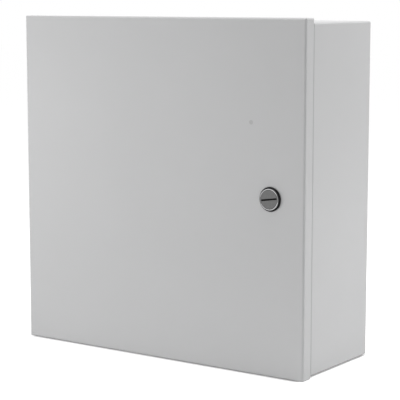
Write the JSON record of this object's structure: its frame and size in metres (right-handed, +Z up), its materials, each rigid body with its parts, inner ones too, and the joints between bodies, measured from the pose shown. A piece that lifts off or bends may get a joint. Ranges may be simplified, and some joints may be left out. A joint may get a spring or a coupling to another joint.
{
  "type": "steel electrical enclosure",
  "caption": "Square grey wall-mounted sheet-steel electrical enclosure with an overlapping hinged door, rain gutter, foam seal, slotted quarter-turn lock and inner mounting panel.",
  "frame": {"origin": "centre of the four wall holes on the outer back face", "axes": "+X to the right seen from the front, +Y into the wall, +Z up"},
  "size_m": [0.4068, 0.1547, 0.4066],
  "materials": {
    "grey_paint": "fine-textured light grey powder coat",
    "zinc_plate": "bright zinc plating",
    "galvanised_sheet": "spangled galvanised sheet",
    "foam_seal": "matt poured foam",
    "black_nylon": "satin moulded nylon",
    "black_rubber": "matt rubber",
    "satin_metal": "satin die-cast face with a bright bevel"
  },
  "bodies": {
    "enclosure": {"body_wrap": "grey_paint", "back_panel": "grey_paint", "mounting_panel": "galvanised_sheet", "panel_studs": "zinc_plate", "panel_washers": "zinc_plate", "panel_nuts": "zinc_plate", "body_earth_stud": "zinc_plate", "body_earth_washer": "zinc_plate", "body_earth_nut": "zinc_plate", "upper_hinge_bracket": "grey_paint", "lower_hinge_bracket": "grey_paint", "upper_hinge_pin": "zinc_plate", "lower_hinge_pin": "zinc_plate", "upper_pin_clip": "zinc_plate", "lower_pin_clip": "zinc_plate"},
    "door": {"door_panel": "grey_paint", "door_gasket": "foam_seal", "upper_hinge_leaf": "grey_paint", "lower_hinge_leaf": "grey_paint", "door_earth_stud": "zinc_plate", "door_earth_washer": "zinc_plate", "door_earth_nut": "zinc_plate", "lock_housing": "black_nylon", "lock_seal": "black_rubber", "lock_nut": "zinc_plate"},
    "latch": {"lock_spindle": "satin_metal", "lock_cam": "zinc_plate", "cam_washer": "zinc_plate", "cam_screw": "zinc_plate"}
  },
  "joints": [
    {"name": "door_hinge", "type": "hinge", "parent": "enclosure", "child": "door", "pos_m": [-0.19695, -0.14505, 0], "axis": [0, 0, -1], "range_deg": [0, 120]},
    {"name": "latch_turn", "type": "hinge", "parent": "door", "child": "latch", "pos_m": [0.15859, -0.14, 0.0028], "axis": [0, -1, 0], "range_deg": [-8.3, 81.7]}
  ]
}
